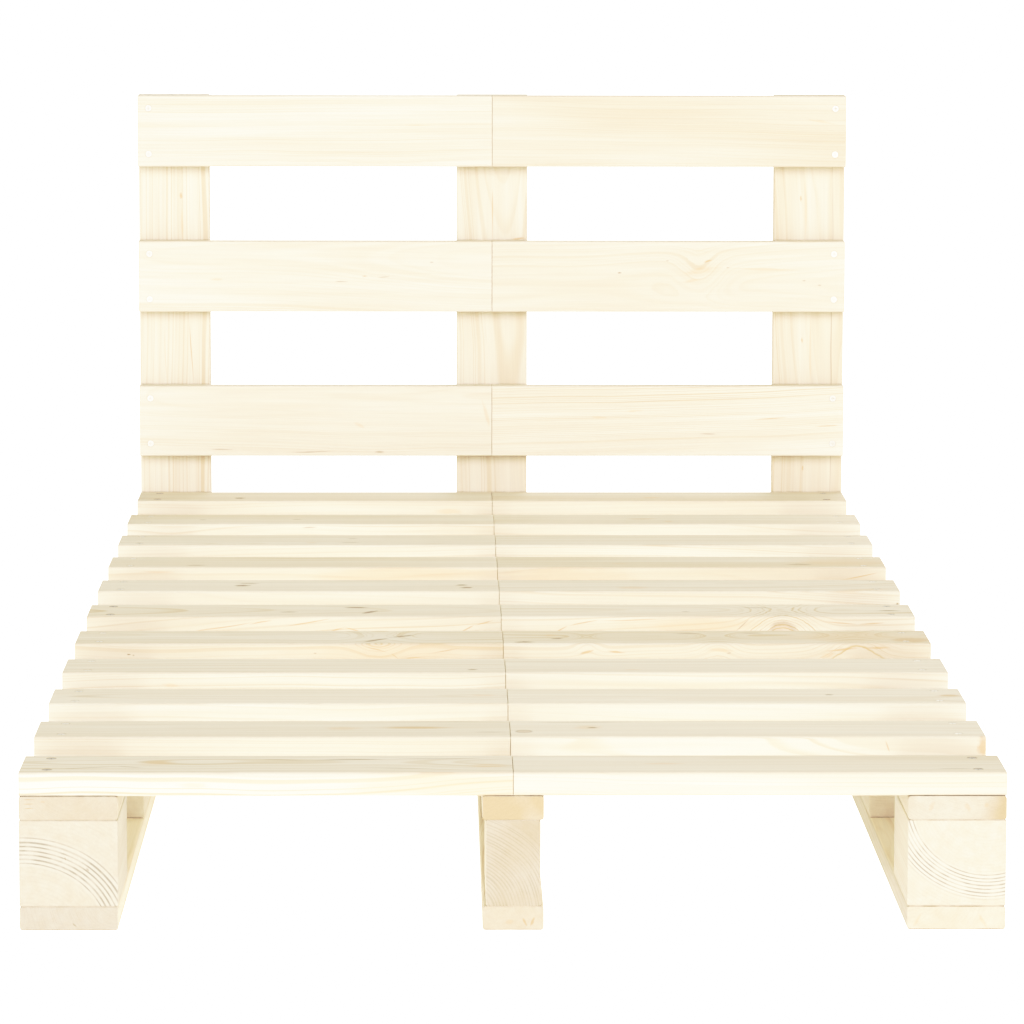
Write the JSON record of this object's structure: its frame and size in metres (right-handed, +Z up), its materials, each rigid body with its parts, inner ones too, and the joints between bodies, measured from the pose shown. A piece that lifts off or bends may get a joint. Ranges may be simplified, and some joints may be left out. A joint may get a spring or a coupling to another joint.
{
  "type": "pallet bed",
  "caption": "Low single bed built like a pallet: split slats screwed across block runners, with a slatted headboard on posts at the head end.",
  "frame": {"origin": "on the floor, under the middle of the bed's overall box", "axes": "+Z up, +Y from the foot end to the headboard, +X to the right seen from the foot end"},
  "size_m": [0.9, 2.044, 0.655],
  "materials": {
    "slat_pine": "planed, untreated pale pine",
    "runner_pine": "planed, untreated pale pine",
    "block_pine": "planed sides and sawn end grain, untreated pine",
    "headboard_pine": "planed, untreated pale pine",
    "screw_steel": "bright zinc plated"
  },
  "bodies": {
    "root": {"slat_left_01": "slat_pine", "slat_left_02": "slat_pine", "slat_left_03": "slat_pine", "slat_left_04": "slat_pine", "slat_left_05": "slat_pine", "slat_left_06": "slat_pine", "slat_left_07": "slat_pine", "slat_left_08": "slat_pine", "slat_left_09": "slat_pine", "slat_left_10": "slat_pine", "slat_left_11": "slat_pine", "slat_right_01": "slat_pine", "slat_right_02": "slat_pine", "slat_right_03": "slat_pine", "slat_right_04": "slat_pine", "slat_right_05": "slat_pine", "slat_right_06": "slat_pine", "slat_right_07": "slat_pine", "slat_right_08": "slat_pine", "slat_right_09": "slat_pine", "slat_right_10": "slat_pine", "slat_right_11": "slat_pine", "top_boards_left": "runner_pine", "top_boards_centre": "runner_pine", "top_boards_right": "runner_pine", "block_left_1": "block_pine", "block_left_2": "block_pine", "block_left_3": "block_pine", "block_left_4": "block_pine", "block_left_5": "block_pine", "block_left_6": "block_pine", "block_centre_1": "block_pine", "block_centre_2": "block_pine", "block_centre_3": "block_pine", "block_centre_4": "block_pine", "block_centre_5": "block_pine", "block_centre_6": "block_pine", "block_right_1": "block_pine", "block_right_2": "block_pine", "block_right_3": "block_pine", "block_right_4": "block_pine", "block_right_5": "block_pine", "block_right_6": "block_pine", "bottom_boards_left": "runner_pine", "bottom_boards_centre": "runner_pine", "bottom_boards_right": "runner_pine", "headboard_board_left_1": "headboard_pine", "headboard_board_left_2": "headboard_pine", "headboard_board_left_3": "headboard_pine", "headboard_board_right_1": "headboard_pine", "headboard_board_right_2": "headboard_pine", "headboard_board_right_3": "headboard_pine", "post_left": "headboard_pine", "post_centre": "headboard_pine", "post_right": "headboard_pine", "slat_screws": "screw_steel", "centre_screws": "screw_steel", "block_screws": "screw_steel", "headboard_screws": "screw_steel", "post_screws": "screw_steel"}
  },
  "joints": []
}
